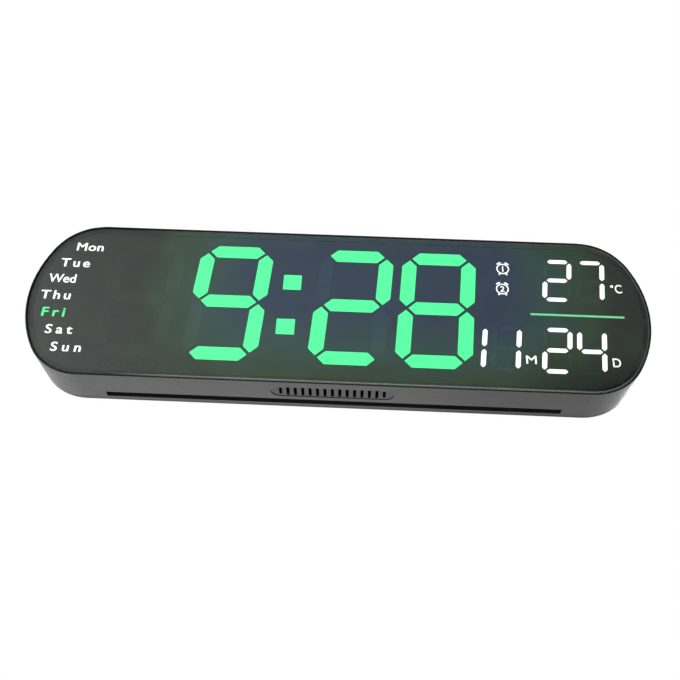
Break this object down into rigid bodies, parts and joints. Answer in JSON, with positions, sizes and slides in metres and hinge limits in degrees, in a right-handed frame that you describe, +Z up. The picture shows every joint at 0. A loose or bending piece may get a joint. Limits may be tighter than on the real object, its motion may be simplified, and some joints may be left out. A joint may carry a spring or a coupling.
{
  "type": "digital wall clock",
  "caption": "Long capsule-shaped LED wall clock with a smoked front panel, large time digits, weekday, date and temperature readouts, a vented bottom wall and keyhole hangers.",
  "frame": {"origin": "middle of the flat back, on the wall's plane", "axes": "+X to the viewer's right along the length, +Y into the wall, +Z up; the display faces -Y"},
  "size_m": [0.4118, 0.0345, 0.12],
  "materials": {
    "housing": "fine satin",
    "cover": "fine grain",
    "smoked_panel": "polished, see-through",
    "tape": "matt",
    "mask": "printed film",
    "light_box": "moulded",
    "lit_green": "glowing diffuser",
    "lit_white": "glowing diffuser",
    "unlit": "dark diffuser",
    "board": "solder mask",
    "light": "cast resin",
    "chip": "moulded",
    "can": "drawn",
    "metal": "plated",
    "key": "satin"
  },
  "bodies": {
    "housing": {"board_leds": "light", "board_screws": "metal", "buzzer": "chip", "capacitors": "can", "cell_clip": "metal", "cell_holder": "chip", "coin_cell": "metal", "colon_dots": "lit_green", "control_board": "board", "control_screws": "metal", "controller_chip": "chip", "cover_screws": "metal", "crystal": "metal", "day_bars_off": "unlit", "day_bars_on": "lit_white", "display_mask": "mask", "divider_bar": "lit_green", "driver_chips": "chip", "front_frame": "housing", "front_panel": "smoked_panel", "header_socket": "chip", "hour_tens_bars_off": "unlit", "hour_units_bars_off": "unlit", "hour_units_bars_on": "lit_green", "key_switches": "chip", "light_box": "light_box", "main_board": "board", "minute_tens_bars_off": "unlit", "minute_tens_bars_on": "lit_green", "minute_units_bars_on": "lit_green", "month_bars_off": "unlit", "month_bars_on": "lit_white", "panel_tape": "tape", "pin_header": "chip", "rear_cover": "cover", "sign_windows": "lit_white", "socket_shell": "metal", "socket_tongue": "chip", "temperature_bars_off": "unlit", "temperature_bars_on": "lit_white", "temperature_sensor": "chip", "today_window": "lit_green", "weekday_windows": "lit_white"},
    "mode_button": {"mode_key": "key", "mode_key_plunger": "chip"},
    "set_button": {"set_key": "key", "set_key_plunger": "chip"},
    "up_button": {"up_key": "key", "up_key_plunger": "chip"},
    "down_button": {"down_key": "key", "down_key_plunger": "chip"},
    "door": {"battery_door": "cover"}
  },
  "joints": [
    {"name": "mode_press", "type": "slide", "parent": "housing", "child": "mode_button", "axis": [0, -1, 0], "range_m": [0, 0.0005], "stiffness_N_per_m": 2400, "springref_m": -0.0002},
    {"name": "set_press", "type": "slide", "parent": "housing", "child": "set_button", "axis": [0, -1, 0], "range_m": [0, 0.0005], "stiffness_N_per_m": 2400, "springref_m": -0.0002},
    {"name": "up_press", "type": "slide", "parent": "housing", "child": "up_button", "axis": [0, -1, 0], "range_m": [0, 0.0005], "stiffness_N_per_m": 2400, "springref_m": -0.0002},
    {"name": "down_press", "type": "slide", "parent": "housing", "child": "down_button", "axis": [0, -1, 0], "range_m": [0, 0.0005], "stiffness_N_per_m": 2400, "springref_m": -0.0002},
    {"name": "door_turn", "type": "hinge", "parent": "housing", "child": "door", "pos_m": [0.066, 0, -0.009], "axis": [0, 1, 0], "range_deg": [0, 60]}
  ]
}
